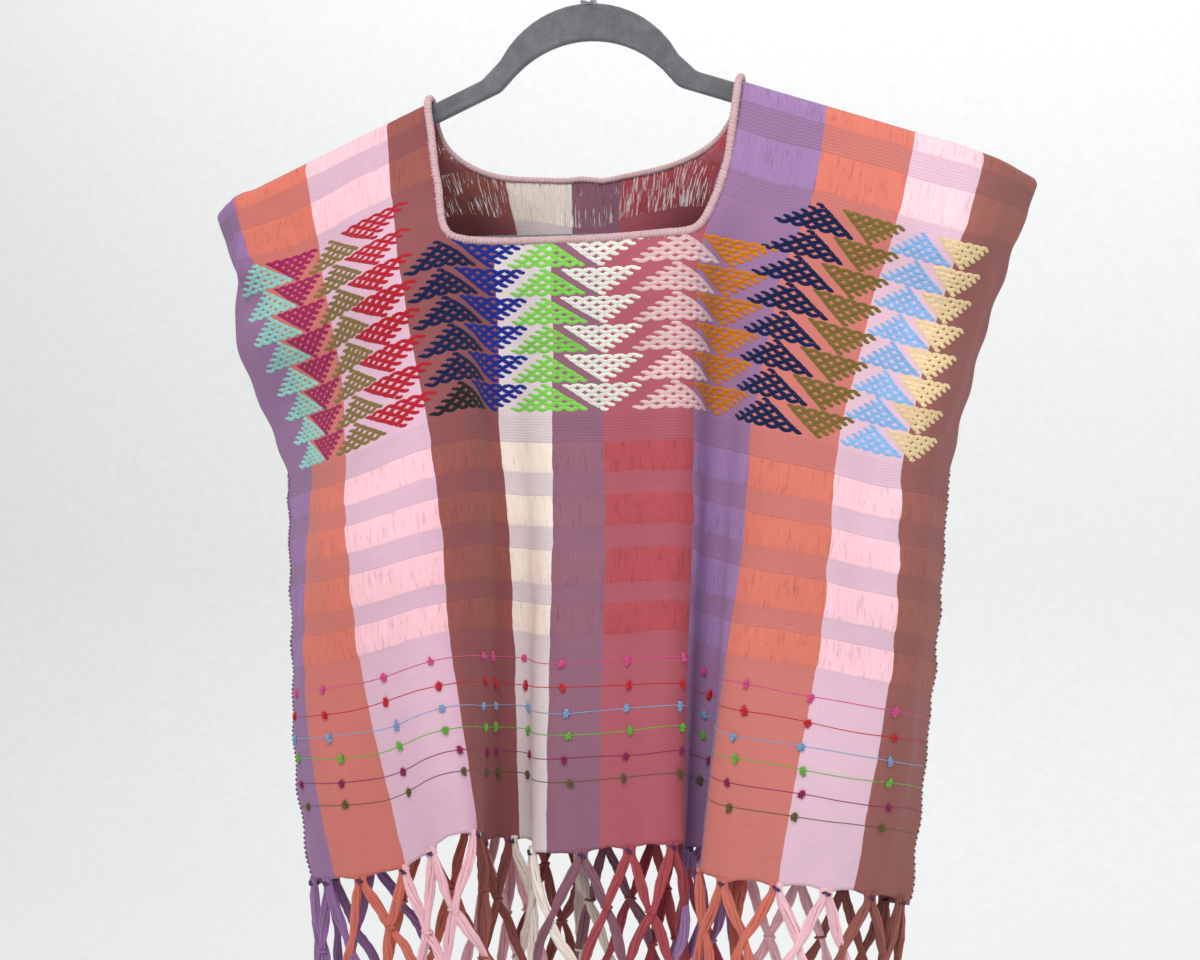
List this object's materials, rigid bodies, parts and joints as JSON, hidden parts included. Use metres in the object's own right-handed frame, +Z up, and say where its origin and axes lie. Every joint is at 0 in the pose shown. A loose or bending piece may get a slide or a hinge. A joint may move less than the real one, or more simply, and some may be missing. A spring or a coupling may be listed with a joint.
{
  "type": "huipil blouse on hanger",
  "caption": "Short handwoven huipil blouse with striped gauze web, brocaded yoke, bound neck and knotted fringe, hanging on a flocked hanger.",
  "frame": {"origin": "underside of the hook's crown, where the rail carries the hanger", "axes": "+Z up, X along the hanger, -Y the blouse's front"},
  "size_m": [0.5004, 0.1631, 0.7139],
  "materials": {
    "web": "matt",
    "binding": "matt",
    "join": "matt",
    "fringe": "matt",
    "flock": "velvet flock",
    "steel": "polished"
  },
  "bodies": {
    "root": {"web_front": "web", "web_back": "web", "neck_binding": "binding", "side_join_left": "join", "side_join_right": "join", "fringe_front": "fringe", "fringe_back": "fringe", "hanger_body": "flock", "hook": "steel", "hook_collar": "steel"}
  },
  "joints": []
}
